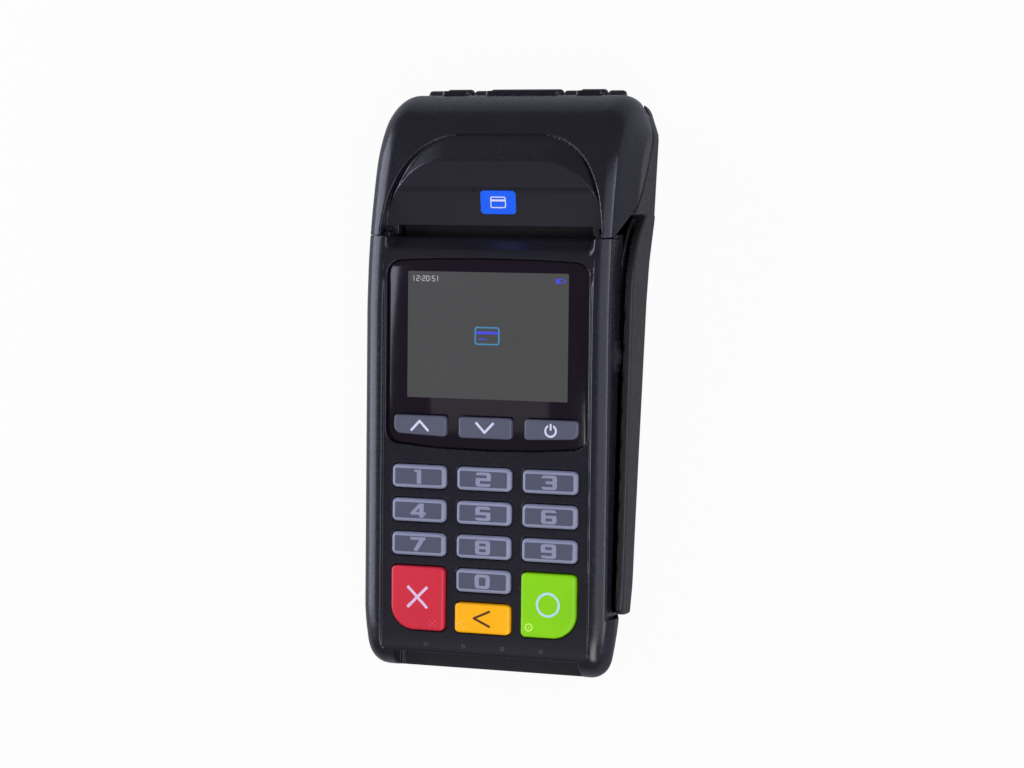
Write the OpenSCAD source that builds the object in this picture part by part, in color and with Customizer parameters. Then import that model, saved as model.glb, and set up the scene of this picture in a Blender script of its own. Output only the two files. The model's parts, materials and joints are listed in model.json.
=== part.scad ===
// Handheld card payment terminal with receipt printer.
// It lies on its feet: X to the right, +Y towards the printer end, +Z up.
// Most sizes are given in the tilted face frame: u across, v along the keypad face
// (0 at the middle of the display), w out of the face (0 at the keypad surface).

/* [Housing] */
// Tilt of the keypad face against the table, in degrees
tilt = 9; // [8:0.5:10]
// Height of the face above the table at the middle of the display
face_z = 41; // [40:0.5:44]
// Half of the housing width without the swipe rail
half_w = 38.6; // [38:0.1:39]
// Wall thickness of the housing mouldings
wall = 2; // [1.6:0.1:2.2]
// Height of the rubber feet below the housing
foot_h = 1.2; // [0.8:0.1:1.4]
// Depth of the parting plane between front and back case below the face
split_w = 13; // [12.5:0.25:13.25]

/* [Keys] */
// Distance between key columns
col_pitch = 20; // [19.5:0.1:20.2]
// Distance between key rows
row_pitch = 9.9; // [9.6:0.1:10]
// Width of a number key
key_w = 16.4; // [15.5:0.1:16.8]
// Height of a number key
key_h = 6.8; // [6:0.1:7]
// Height of a key top above the face
key_rise = 1.2; // [0.8:0.1:1.6]
// Gap between a key and its opening
key_gap = 0.25; // [0.15:0.05:0.4]

/* [Display] */
// Half width of the display lens
lens_half_w = 31.2; // [31:0.1:31.3]
// Lens thickness
lens_t = 1.2; // [0.8:0.1:1.2]

/* [Card slots] */
// Half width of the chip card recess at the bottom end
chip_half_w = 28.67; // [28.2:0.1:29]
// Width of the magnetic stripe slot
swipe_gap = 1.3; // [1.2:0.1:1.6]
// Depth of the stripe slot floor below the edge of its rail
swipe_depth = 11.5; // [11:0.25:12]

/* [Printer] */
// Radius of the paper roll
roll_r = 16.5; // [10:0.5:16.5]
// Radius of the rubber platen
platen_r = 4.5; // [4:0.1:4.5]
// Width of the paper
paper_w = 57; // [50:1:57]

/* [Hidden] */
$fn = 64;
face_y = 9;
leg_end = -98.8;
lip_end = -93.2;
lid_v = 28.6;
gap = 0.2;
slot_in = 36.8;
rail_out = 40.2;
rail_v = -57;
rail_w = -6.5;
rail_tilt = 3.67;
panel_t = 2.2;
flange_t = 0.8;
hinge_y = 84;
hinge_z = 17;
roll_y = 62;
roll_z = 21.7;
roll_max = 16.5;
platen_v = 31.8;
platen_w = -14.5;
idler_v = 26.65;
idler_w = -24.4;
gear_m = 0.6;
platen_n = 22;
idler_n = 15;
pinion_n = 10;
mesh_a = atan2(idler_w - platen_w, idler_v - platen_v);
pinion_a = 197.5;
pinion_v = idler_v + gear_m * (idler_n + pinion_n) / 2 * cos(pinion_a);
pinion_w = idler_w + gear_m * (idler_n + pinion_n) / 2 * sin(pinion_a);
idler_phase = mesh_a + 180 + 180 / idler_n;
idler_part = (pinion_a - idler_phase) * idler_n / 360;
idler_frac = idler_part - floor(idler_part);
pinion_phase = pinion_a + 180 - (0.5 - idler_frac) * 360 / pinion_n;
row_1 = -41.4;
big = 200;
screw_u = 31;
screw_v = [-84, -36];
door_y0 = -74;
door_y1 = -18;
door_x = 27;
port_z = 24.6;
rail_end_v = 35.2;

x_mid = (half_w - rail_out) / 2;
y_mid = -(face_y + leg_end * cos(tilt) + 10 * sin(tilt) + hinge_y + 2.4) / 2;

function fy(v, w) = face_y + v * cos(tilt) - w * sin(tilt);
function fz(v, w) = face_z + v * sin(tilt) + w * cos(tilt);
function fp(v, w) = [fy(v, w), fz(v, w)];

// ---------- helpers ----------
module on_face() {
  translate([0, face_y, face_z]) rotate([tilt, 0, 0]) children();
}

// Moves the finished parts so that the origin is under the middle of the whole.
module placed() {
  translate([x_mid, y_mid, 0]) children();
}

// Extrudes a shape drawn in (Y, Z) along X, centred.
module along_x(width) {
  rotate([90, 0, 90]) translate([0, 0, -width / 2]) linear_extrude(width) children();
}

// A box given by its corners.
module span(lo, hi) {
  translate(lo) cube([hi[0] - lo[0], hi[1] - lo[1], hi[2] - lo[2]]);
}

// A rectangle with rounded corners, centred.
module round_rect(w, h, r) {
  square([w - 2 * r, h], center = true);
  square([w, h - 2 * r], center = true);
  for (x = [-1, 1]) {
    for (y = [-1, 1]) {
      translate([x * (w / 2 - r), y * (h / 2 - r)]) circle(r);
    }
  }
}

// A cylinder along X between two stations, centred on face point (v, w).
module rod_x(u0, u1, v, w, r) {
  translate([u0, v, w]) rotate([0, 90, 0]) cylinder(h = u1 - u0, r = r);
}

// ---------- housing outline ----------
module side_outline() {
  polygon([
    fp(-88, 0.8), fp(-92.5, 0.2), fp(-96, -2), fp(-98.2, -5.5), fp(leg_end, -10),
    [-86.4, foot_h + 5], [-85.2, foot_h + 2], [-82.5, foot_h],
    [79, foot_h], [82.2, foot_h + 1.6], [83.8, foot_h + 5], [84, hinge_z], [83.6, 22],
    fp(70.2, -26), fp(68, -20), fp(64.6, -15), fp(60, -11.4), fp(54, -8.1),
    fp(48, -5.9), fp(41, -4), fp(35, -2.5), fp(28.5, -1.2), fp(20, 0), fp(8, 0.8)
  ]);
}

// Outline across the housing: upright sides that draw in towards the back.
module cross_outline() {
  polygon([
    [-29.5, foot_h], [29.5, foot_h], [32, foot_h + 0.9], [34.3, foot_h + 3.4],
    [35.7, foot_h + 8], [half_w, foot_h + 20], [half_w, 100], [-half_w, 100],
    [-half_w, foot_h + 20], [-35.7, foot_h + 8], [-34.3, foot_h + 3.4], [-32, foot_h + 0.9]
  ]);
}

// Housing body shrunk inwards by g on every side.
module body(g) {
  intersection() {
    along_x(2 * big) offset(delta = -g) side_outline();
    on_face() rotate([90, 0, 0]) translate([0, 0, -big]) linear_extrude(2 * big)
      translate([0, 0.8 - 50]) round_rect(2 * (half_w - g), 100 - 2 * g, 7 - g);
    rotate([90, 0, 0]) translate([0, 0, -big]) linear_extrude(2 * big)
      offset(delta = -g) cross_outline();
    on_face() translate([0, 71.5 - 85.15, -100]) linear_extrude(200)
      round_rect(2 * (half_w - g), 170.3 - 2 * g, 9.5 - g);
  }
}

module lid_region(d) {
  along_x(2 * big) offset(delta = d)
    polygon([
      fp(lid_v, 20), fp(lid_v, -3.5), fp(33, -9.5), fp(39, -17), fp(45, -23), fp(55, -30),
      fp(66, -35.4), [hinge_y - 2, hinge_z], [120, hinge_z], [120, 80]
    ]);
}

module front_region() {
  on_face() span([-big, -big, -split_w], [big, lid_v - gap, big]);
}

module inside() {
  difference() {
    body(wall);
    on_face() span([slot_in - wall, -big, -27.5], [big, 37, big]);
  }
}

// Frame of the stripe rail, whose edge drops away from the face towards the printer end.
module on_rail() {
  on_face() translate([0, rail_v, rail_w]) rotate([-rail_tilt, 0, 0]) children();
}

module swipe_cut() {
  on_rail() {
    span([slot_in, -24, -swipe_depth], [slot_in + swipe_gap, 92.3, 30]);
    span([slot_in, -24, 0], [60, 92.3, 30]);
  }
  on_face() rotate([90, 0, 90]) translate([0, 0, slot_in]) linear_extrude(25)
    polygon([[17.5, -11.2], [29, -16.8], [rail_end_v, -24.8], [rail_end_v, 20], [17.5, 20]]);
}

// Beyond the slot's upper end the right wall slopes out with depth. Each row holds
// the place along the face, the two ends of the slope, the back and how far out it goes.
ramp = [
  [28.8, -3, -13.5, -33, 40.2], [48, -9, -20, -36.5, 40.2], [60, -14, -26, -39, 40],
  [70, -28, -36, -41.5, 39.2]
];

module bulge_section(r) {
  translate([0, r[0], 0]) rotate([90, 0, 0]) linear_extrude(0.02, center = true)
    polygon([
      [34.6, r[3]], [34.6, r[1]], [slot_in, r[1]], [r[4], r[2]], [r[4], r[3] + 5], [r[4] - 2, r[3]]
    ]);
}

module ramp_section(r) {
  translate([0, r[0], 0]) rotate([90, 0, 0]) linear_extrude(0.02, center = true)
    polygon([[slot_in, 30], [slot_in, r[1]], [r[4], r[2]], [60, r[2]], [60, 30]]);
}

module side_bulge() {
  on_face() {
    for (i = [0:2]) {
      hull() {
        bulge_section(ramp[i]);
        bulge_section(ramp[i + 1]);
      }
    }
  }
}

module ramp_space() {
  on_face() {
    for (i = [0:2]) {
      hull() {
        ramp_section(ramp[i] - [i == 0 ? 2 : 0, 0, 0, 0, 0]);
        ramp_section(ramp[i + 1]);
      }
    }
  }
}

module rail_section(v, w_top, w_back, out) {
  translate([0, v, 0]) rotate([90, 0, 0]) linear_extrude(0.4, center = true)
    polygon([
      [34.6, w_back], [34.6, w_top], [out - 0.6, w_top], [out, w_top - 0.9],
      [out, w_back + 5], [out - 2, w_back]
    ]);
}

module rail() {
  difference() {
    union() {
      on_face() {
        hull() {
          rail_section(-79.5, -6.6, -19, rail_out - 0.4);
          rail_section(-78, -5.2, -20, rail_out - 0.2);
          rail_section(18, -11.3, -31, rail_out);
          rail_section(29, -16.9, -33.5, rail_out);
          rail_section(rail_end_v, -25, -35, rail_out);
        }
      }
      intersection() {
        side_bulge();
        on_face() span([0, rail_end_v - 0.1, -big], [big, big, big]);
      }
    }
    lid_region(0.3);
    on_face() span([0, -big, -split_w - gap], [slot_in + 0.1, lid_v, big]);
    body(wall);
  }
}

// ---------- front case ----------
module key_hole(u, v, w, h, r) {
  translate([u, v, -6]) linear_extrude(12) round_rect(w + 2 * key_gap, h + 2 * key_gap, r);
}

module corner_key(w, h, r, big_r, side) {
  difference() {
    round_rect(w, h, r);
    translate([side * w / 2, -h / 2]) square(2 * big_r, center = true);
  }
  translate([side * (w / 2 - big_r), -(h / 2 - big_r)]) circle(big_r);
}

module lens_outline(d) {
  difference() {
    translate([0, -5.1]) round_rect(2 * (lens_half_w + d), 55.6 + 2 * d, 5 + d);
    for (s = [-1, 1]) {
      translate([s * 31.5, 23 + d]) rotate(-s * 5) square([30, 1.6], center = true);
      translate([s * 31.5, -33.2 - d]) rotate(s * 5) square([30, 1.6], center = true);
    }
  }
}

module number_holes() {
  for (c = [-1, 0, 1]) {
    for (r = [0, 1, 2]) {
      key_hole(c * col_pitch, row_1 - r * row_pitch, key_w, key_h, 1.2);
    }
  }
  key_hole(0, row_1 - 3 * row_pitch, key_w, key_h, 1.2);
}

module command_holes() {
  key_hole(0, -82, 16.8, 8.7, 1.2);
  for (s = [-1, 1]) {
    translate([s * 20, -77.1, -6]) linear_extrude(12)
      corner_key(16.4 + 2 * key_gap, 18.6 + 2 * key_gap, 1.3, 8, s);
  }
}

module slope_plate() {
  rotate([90, 0, 90]) translate([0, 0, -31]) linear_extrude(62)
    polygon([
      [22.5, -3.2], [22.5, -0.6], [23.4, 0], [28.3, -5.9], [28.3, -8], [26.5, -8]
    ]);
}

module slope_cut() {
  rotate([90, 0, 90]) translate([0, 0, -31]) linear_extrude(62)
    polygon([[23.4, 0], [28.7, -6.4], [40, -6.4], [40, 20], [23.4, 20]]);
}

module front_case() {
  color([0.17, 0.16, 0.2]) placed() difference() {
    union() {
      difference() {
        intersection() {
          body(0);
          front_region();
        }
        inside();
      }
      on_face() {
        difference() {
          union() {
            translate([0, 0, -3.2]) linear_extrude(2.2) lens_outline(2.2);
            span([-34.5, -92, -panel_t], [34.5, 26, -0.5]);
          }
          span([-30.4, -21.5, -4], [30.4, 22, 0]);
          translate([0, 0, -4]) linear_extrude(2) lens_outline(-0.8);
        }
        slope_plate();
        for (s = [-1, 1]) {
          for (v = screw_v) {
            translate([s * screw_u, v, -split_w]) cylinder(h = split_w - 1.5, r = 2.3);
          }
        }
        span([-30, lip_end + 0.1, -6.2], [30, -91.4, -1]);
        span([-30, -97.5, -12.5], [30, -91.4, -8]);
      }
    }
    on_face() {
      span([-31.2, -90, 0], [31.2, 24, 10]);
      span([-chip_half_w, -120, 0], [chip_half_w, -88, 10]);
      span([-chip_half_w, -120, -8], [chip_half_w, lip_end, 10]);
      span([-27.6, -120, -8], [27.6, -80, -6.2]);
      span([-29, -91.4, -12.5], [29, -80, -6.2]);
      slope_cut();
      translate([0, 0, -2.3]) linear_extrude(12) lens_outline(0.12);
      number_holes();
      command_holes();
      for (u = [-17.7, -6, 6, 17.7]) {
        translate([u, -90.6, -10]) cylinder(h = 12, r = 0.65);
      }
      for (s = [-1, 1]) {
        for (v = screw_v) {
          translate([s * screw_u, v, -split_w - 1]) cylinder(h = split_w - 3, r = 1.27);
        }
      }
      span([20, -14, -16], [40, 2, -4.5]);
    }
    on_rail() span([slot_in, -24, -20], [60, 93.5, 30]);
  }
}

// ---------- back case ----------
module battery_box() {
  intersection() {
    difference() {
      span([-door_x - 1.7, door_y0 - 1.5, foot_h], [door_x + 1.7, door_y1 + 1.7, 30]);
      span([-door_x - 0.3, door_y0 - 0.3, 0], [door_x + 0.3, door_y1 + 0.3, 30]);
      for (s = [-1, 1]) {
        span([s * 15 - 4.4, door_y1 - 1, foot_h + 1.9], [s * 15 + 4.4, door_y1 + 4, 6.4]);
      }
    }
    on_face() span([-40, -big, -80], [40, big, -split_w - 1.4]);
  }
  intersection() {
    on_face() span([-28.7, -big, -split_w - 1.6], [28.7, big, -split_w - 0.6]);
    span([-40, door_y0 - 1.5, 0], [40, door_y1 + 1.7, 60]);
  }
}

module screw_towers() {
  intersection() {
    on_face() {
      for (s = [-1, 1]) {
        for (v = screw_v) {
          translate([s * screw_u, v, -60]) cylinder(h = 60 - split_w - gap, r = 3.2);
        }
      }
    }
    body(0.5);
  }
}

module screw_bores() {
  on_face() {
    for (s = [-1, 1]) {
      for (v = screw_v) {
        translate([s * screw_u, v, -60]) cylinder(h = 60, r = 1.45);
        translate([s * screw_u, v, -60]) cylinder(h = 40, r = 2.6);
      }
    }
  }
}

module hinge_knuckle(x0, x1, r) {
  translate([x0, hinge_y, hinge_z]) rotate([0, 90, 0]) cylinder(h = x1 - x0, r = r);
}

module case_knuckles() {
  for (s = [-1, 1]) {
    hinge_knuckle(s > 0 ? 11.9 : -16.3, s > 0 ? 16.3 : -11.9, 2);
    hinge_knuckle(s > 0 ? 25.6 : -30.8, s > 0 ? 30.8 : -25.6, 2);
    for (x = [s * 14.1, s * 28.2]) {
      span([x - 2.1, hinge_y - 2, hinge_z - 5], [x + 2.1, hinge_y, hinge_z]);
    }
  }
}

module knuckle_space(x0, x1) {
  hinge_knuckle(x0 - 0.3, x1 + 0.3, 2.75);
}

module speaker_grille() {
  for (i = [-2, -1, 0, 1, 2]) {
    for (j = [-2, -1, 0, 1, 2]) {
      if (i * i + j * j < 6) {
        translate([i * 3 - 14, j * 3 + 4, -1]) cylinder(h = 6, r = 0.8, $fn = 24);
      }
    }
  }
}

module back_case() {
  color([0.19, 0.18, 0.22]) placed() difference() {
    union() {
      difference() {
        body(0);
        inside();
        on_face() span([-big, -big, -split_w - gap], [big, lid_v, big]);
        lid_region(gap);
      }
      difference() {
        battery_box();
        on_face() span([-40, -big, -split_w - 0.5], [40, big, 40]);
      }
      screw_towers();
      rail();
      case_knuckles();
    }
    swipe_cut();
    screw_bores();
    span([-door_x - 0.3, door_y0 - 0.3, 0], [door_x + 0.3, door_y1 + 0.3, foot_h + 4]);
    for (s = [-1, 1]) {
      span([s * 15 - 4.4, door_y1 - 1, foot_h + 2.0], [s * 15 + 4.4, door_y1 + 4, 6.4]);
      translate([s * 22, -79, -1]) cylinder(h = foot_h + 1.6, r = 3.25);
      translate([s * 24, 73, -1]) cylinder(h = foot_h + 1.6, r = 4.05);
    }
    speaker_grille();
    knuckle_space(-11.5, 11.5);
    knuckle_space(-25.2, -16.7);
    knuckle_space(16.7, 25.2);
    hinge_knuckle(-31, 31, 0.8);
    span([-half_w - 1, 11.8, port_z - 3.7], [-half_w + 1.3, 26.2, port_z + 3.7]);
    span([-half_w - 1, 14.9, port_z - 1.6], [-30, 23.1, port_z + 1.6]);
    on_face() span([20, -14, -20], [slot_in + 0.1, 2, -4.5]);
  }
}

// ---------- printer lid ----------
// The flat sloping panel behind the paper slot: sunk at the slot, proud under the hood.
module hood() {
  intersection() {
    on_face() rotate([90, 0, 90]) translate([0, 0, -33]) linear_extrude(66)
      polygon([
        [40, -7], [43, -4.44], [50.6, -3.15], [51.4, -3.5], [58.8, -10.6], [55, -9.6], [48, -7.4]
      ]);
    on_face() translate([0, 26, -20]) linear_extrude(20) round_rect(2 * 31, 2 * 30.5, 15);
  }
}

module panel_plate() {
  on_face() rotate([90, 0, 90]) translate([0, 0, -32]) linear_extrude(64)
    polygon([[28.8, -6.86], [43.2, -4.41], [46, -7], [43.2, -7], [28.8, -9]]);
}

module panel_cut() {
  on_face() rotate([90, 0, 90]) translate([0, 0, -31.2]) linear_extrude(62.4)
    polygon([[26, -7.34], [43.2, -4.41], [43.2, 10], [26, 10]]);
}

module printer_lid() {
  color([0.17, 0.16, 0.2]) placed() difference() {
    union() {
      difference() {
        intersection() {
          body(0);
          lid_region(0);
        }
        inside();
      }
      difference() {
        intersection() {
          side_bulge();
          lid_region(0);
        }
        body(wall);
      }
      intersection() {
        body(0.4);
        lid_region(0);
        panel_plate();
      }
      hood();
      on_face() {
        for (x = [-31.8, 29.8]) {
          span([x, 28.9, -18], [x + 2, 35, -5]);
        }
      }
      hinge_knuckle(-11.5, 11.5, 2.4);
      hinge_knuckle(-25.2, -16.7, 2.4);
      hinge_knuckle(16.7, 25.2, 2.4);
      for (k = [[-11.5, 23], [-25.2, 8.5], [16.7, 8.5]]) {
        span([k[0], hinge_y - 1.9, hinge_z], [k[0] + k[1], hinge_y + 0.4, hinge_z + 5]);
      }
    }
    on_face() {
      span([-29.6, 26, -30], [29.6, 31.5, 10]);
      rod_x(-40, 40, platen_v, platen_w, 1.54);
      rod_x(-29.9, 29.9, platen_v, platen_w, platen_r + 0.5);
    }
    panel_cut();
    hinge_knuckle(-40, 40, 0.8);
    for (s = [-1, 1]) {
      hinge_knuckle(s > 0 ? 11.6 : -16.6, s > 0 ? 16.6 : -11.6, 2.35);
      hinge_knuckle(s > 0 ? 25.3 : -31.1, s > 0 ? 31.1 : -25.3, 2.35);
    }
    ramp_space();
  }
}

module hinge_pin() {
  color([0.72, 0.73, 0.75]) placed() hinge_knuckle(-30.6, 30.6, 0.76);
}

// ---------- display ----------
module nav_shape(d) {
  round_rect(16.1 + 2 * d, 6.2 + 2 * d, 1.2 + d);
}

module display_lens() {
  color([0.06, 0.05, 0.08]) placed() on_face() difference() {
    translate([0, 0, -1 - lens_t]) linear_extrude(lens_t) lens_outline(0);
    for (i = [-1, 0, 1]) {
      translate([i * col_pitch, -26.5, -6]) linear_extrude(12) nav_shape(key_gap);
    }
  }
}

module lcd_module() {
  color([0.3, 0.3, 0.3]) placed() on_face() span([-30, -21.2, -4.6], [30, 21.2, -2.35]);
}

// ---------- keys ----------
module key_stack(rise) {
  translate([0, 0, -panel_t - 0.2]) linear_extrude(panel_t + 0.2 + rise) children(0);
  translate([0, 0, -panel_t - 0.2 - flange_t]) linear_extrude(flange_t) children(1);
}

module number_key(c, r) {
  color([0.31, 0.31, 0.37]) placed() on_face()
    translate([c * col_pitch, row_1 - r * row_pitch, 0]) key_stack(key_rise) {
      round_rect(key_w, key_h, 1);
      round_rect(key_w + 1.4, key_h + 1.4, 1.2);
    }
}

module nav_key(i) {
  color([0.33, 0.33, 0.39]) placed() on_face() translate([i * col_pitch, -26.5, 0]) key_stack(0.5) {
    nav_shape(0);
    nav_shape(0.7);
  }
}

module key_1() { number_key(-1, 0); }
module key_2() { number_key(0, 0); }
module key_3() { number_key(1, 0); }
module key_4() { number_key(-1, 1); }
module key_5() { number_key(0, 1); }
module key_6() { number_key(1, 1); }
module key_7() { number_key(-1, 2); }
module key_8() { number_key(0, 2); }
module key_9() { number_key(1, 2); }
module key_0() { number_key(0, 3); }
module key_up() { nav_key(-1); }
module key_down() { nav_key(0); }
module key_power() { nav_key(1); }

module key_cancel() {
  color([0.8, 0.16, 0.22]) placed() on_face() translate([-20, -77.1, 0]) key_stack(1.5) {
    corner_key(16.4, 18.6, 1.3, 8, -1);
    corner_key(17.6, 19.8, 1.5, 8.6, -1);
  }
}

module key_clear() {
  color([0.95, 0.68, 0]) placed() on_face() translate([0, -82, 0]) key_stack(1.5) {
    round_rect(16.8, 8.7, 1.1);
    round_rect(18, 9.9, 1.3);
  }
}

module key_enter() {
  color([0.5, 0.78, 0]) placed() on_face() translate([20, -77.1, 0]) key_stack(1.5) {
    corner_key(16.4, 18.6, 1.3, 8, 1);
    corner_key(17.6, 19.8, 1.5, 8.6, 1);
  }
}

module keypad_membrane() {
  color([0.6, 0.6, 0.62]) placed() on_face() span([-28.3, -87.8, -4.6], [28.3, -22, -4.05]);
}

module light_pipes() {
  color([0.75, 0.75, 0.78, 0.6]) placed() on_face() {
    for (u = [-17.7, -6, 6, 17.7]) {
      translate([u, -90.6, -5.9]) cylinder(h = 6, r = 0.6);
    }
  }
}

// ---------- electronics ----------
module main_board() {
  color([0.05, 0.3, 0.14]) placed() on_face() span([-28.3, -89.6, -6], [28.3, 16, -4.8]);
}

module chip_card_reader() {
  color([0.12, 0.12, 0.13]) placed() on_face() difference() {
    span([-28.2, -88, -10.8], [28.2, -40, -6.1]);
    span([-27.2, -89, -8], [27.2, -43, -6.8]);
  }
}

module mag_head() {
  color([0.7, 0.7, 0.72]) placed() on_face() {
    span([slot_in - 4.5, -9.5, -15.5], [slot_in + 0.2, -0.5, -6.5]);
    intersection() {
      translate([slot_in - 4, -5, -15.5]) cylinder(h = 9, r = 5);
      span([slot_in, -9, -15.5], [slot_in + 4, 0, -6.5]);
    }
  }
}

module mag_head_spring() {
  color([0.8, 0.78, 0.7]) placed() on_face() {
    span([slot_in - 5.7, -13.5, -13], [slot_in - 5.5, 1.5, -9]);
  }
}

// ---------- printer ----------
module tooth(n) {
  r = gear_m * n / 2;
  p = PI * gear_m;
  polygon([
    [r - 1.5 * gear_m, -0.3 * p], [r, -0.21 * p], [r + 0.95 * gear_m, -0.1 * p],
    [r + 0.95 * gear_m, 0.1 * p], [r, 0.21 * p], [r - 1.5 * gear_m, 0.3 * p]
  ]);
}

module gear(n, phase, bore) {
  linear_extrude(2.4) difference() {
    union() {
      circle(gear_m * (n / 2 - 1.25));
      for (i = [0:n - 1]) {
        rotate(phase + i * 360 / n) tooth(n);
      }
    }
    circle(bore);
  }
}

// Places a gear drawn in (v, w) on the left of the mechanism.
module gear_at(v, w, n, phase, bore) {
  on_face() translate([-34.6, v, w]) rotate([90, 0, 90]) gear(n, phase, bore);
}

module print_head() {
  color([0.75, 0.72, 0.62]) placed() on_face() {
    span([-28.6, 23.6, -19], [28.6, platen_v - platen_r - 0.04, -10]);
  }
}

module printer_frame() {
  color([0.6, 0.6, 0.63]) placed() {
    on_face() {
      span([-31.2, 21.4, -18.5], [31.2, 23.5, -10]);
      difference() {
        for (x = [-31.2, 30.2]) {
          translate([x, 0, 0]) rotate([90, 0, 90]) linear_extrude(1)
            polygon([
              [14, -10], [26, -10], [26, -19.5], [30.5, -20.5], [30.5, -28],
              [26, -35], [14, -35]
            ]);
        }
        rod_x(-40, -25, pinion_v, pinion_w, 1.6);
      }
      rod_x(-34.6, -31, idler_v, idler_w, 0.95);
    }
  }
}

module platen_roller() {
  color([0.1, 0.1, 0.1]) placed() on_face() difference() {
    rod_x(-29, 29, platen_v, platen_w, platen_r);
    rod_x(-30, 30, platen_v, platen_w, 1.5);
  }
}

module platen_shaft() {
  color([0.75, 0.75, 0.77]) placed() on_face() rod_x(-34.6, 32.4, platen_v, platen_w, 1.5);
}

module platen_gear() {
  color([0.9, 0.9, 0.86]) placed() gear_at(platen_v, platen_w, platen_n, mesh_a, 1.5);
}

module idler_gear() {
  color([0.9, 0.9, 0.86]) placed() gear_at(idler_v, idler_w, idler_n, idler_phase, 1);
}

module motor_pinion() {
  color([0.8, 0.65, 0.3]) placed() {
    gear_at(pinion_v, pinion_w, pinion_n, pinion_phase, 0.75);
    on_face() rod_x(-34.6, -28.9, pinion_v, pinion_w, 0.75);
  }
}

module stepper_motor() {
  color([0.65, 0.65, 0.67]) placed() on_face() difference() {
    rod_x(-30.1, -12, pinion_v, pinion_w, 7);
    rod_x(-31, -27, pinion_v, pinion_w, 0.8);
  }
}

module paper_roll() {
  color([0.96, 0.96, 0.94]) placed() translate([-paper_w / 2, roll_y, roll_z]) rotate([0, 90, 0])
    difference() {
      cylinder(h = paper_w, r = roll_r);
      translate([0, 0, -1]) cylinder(h = paper_w + 2, r = 7);
    }
}

module roll_core() {
  color([0.75, 0.66, 0.5]) placed() translate([-paper_w / 2, roll_y, roll_z]) rotate([0, 90, 0])
    difference() {
      cylinder(h = paper_w, r = 7);
      translate([0, 0, -1]) cylinder(h = paper_w + 2, r = 6);
    }
}

module paper_cradle() {
  color([0.15, 0.15, 0.17]) placed() difference() {
    translate([-30.6, roll_y, roll_z]) rotate([0, 90, 0]) cylinder(h = 61.2, r = roll_max + 1.4);
    translate([-29.4, roll_y, roll_z]) rotate([0, 90, 0]) cylinder(h = 58.8, r = roll_max + 0.4);
    span([-40, 30, 14.6], [40, 100, 60]);
  }
}

// ---------- power ----------
module battery_pack() {
  color([0.2, 0.25, 0.45]) placed() span([-26, -71.5, 3.3], [26, -22.5, 12.4]);
}

module battery_door() {
  color([0.19, 0.18, 0.22]) placed() difference() {
    union() {
      span([-door_x, door_y0, foot_h], [door_x, door_y1, foot_h + 1.6]);
      for (s = [-1, 1]) {
        span([s * 15 - 4, door_y1 - 2, foot_h + 1.5], [s * 15 + 4, door_y1, foot_h + 3]);
        span([s * 15 - 4, door_y1 - 1, foot_h + 2.2], [s * 15 + 4, door_y1 + 2.2, foot_h + 3]);
      }
    }
    translate([0, door_y0 + 9, foot_h - 5.4]) sphere(r = 6);
  }
}

module rubber_feet() {
  color([0.08, 0.08, 0.08]) placed() {
    for (s = [-1, 1]) {
      translate([s * 22, -79, 0]) cylinder(h = foot_h + 0.6, r = 3.2);
      translate([s * 24, 73, 0]) cylinder(h = foot_h + 0.6, r = 4);
    }
  }
}

module case_screws() {
  color([0.6, 0.6, 0.62]) placed() on_face() {
    for (s = [-1, 1]) {
      for (v = screw_v) {
        translate([s * screw_u, v, -20.05]) cylinder(h = 15, r = 1.25);
        difference() {
          translate([s * screw_u, v, -21.8]) cylinder(h = 1.75, r = 2.3);
          for (a = [0, 90]) {
            translate([s * screw_u, v, -21.9]) rotate(a)
              cube([2.6, 0.6, 1.6], center = true);
          }
        }
      }
    }
  }
}

module speaker() {
  color([0.25, 0.25, 0.27]) placed() translate([-14, 4, foot_h + wall + 0.1]) {
    cylinder(h = 3.6, r = 9);
  }
}

module charge_port() {
  color([0.7, 0.7, 0.72]) placed() difference() {
    span([-half_w + 1.6, 15, port_z - 1.5], [-29.5, 23, port_z + 1.5]);
    span([-half_w, 15.5, port_z - 1], [-31, 22.5, port_z + 1]);
  }
}

module port_cover() {
  color([0.1, 0.1, 0.11]) placed() {
    span([-half_w, 12, port_z - 3.5], [-half_w + 1.2, 26, port_z + 3.5]);
  }
}

front_case();
back_case();
printer_lid();
hinge_pin();
display_lens();
lcd_module();
keypad_membrane();
key_1();
key_2();
key_3();
key_4();
key_5();
key_6();
key_7();
key_8();
key_9();
key_0();
key_up();
key_down();
key_power();
key_cancel();
key_clear();
key_enter();
light_pipes();
main_board();
chip_card_reader();
mag_head();
mag_head_spring();
print_head();
printer_frame();
platen_roller();
platen_shaft();
platen_gear();
idler_gear();
motor_pinion();
stepper_motor();
paper_roll();
roll_core();
paper_cradle();
battery_pack();
battery_door();
rubber_feet();
case_screws();
speaker();
charge_port();
port_cover();
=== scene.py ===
import json
import math
import bpy
import numpy as np
from mathutils import Matrix, Vector


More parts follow.
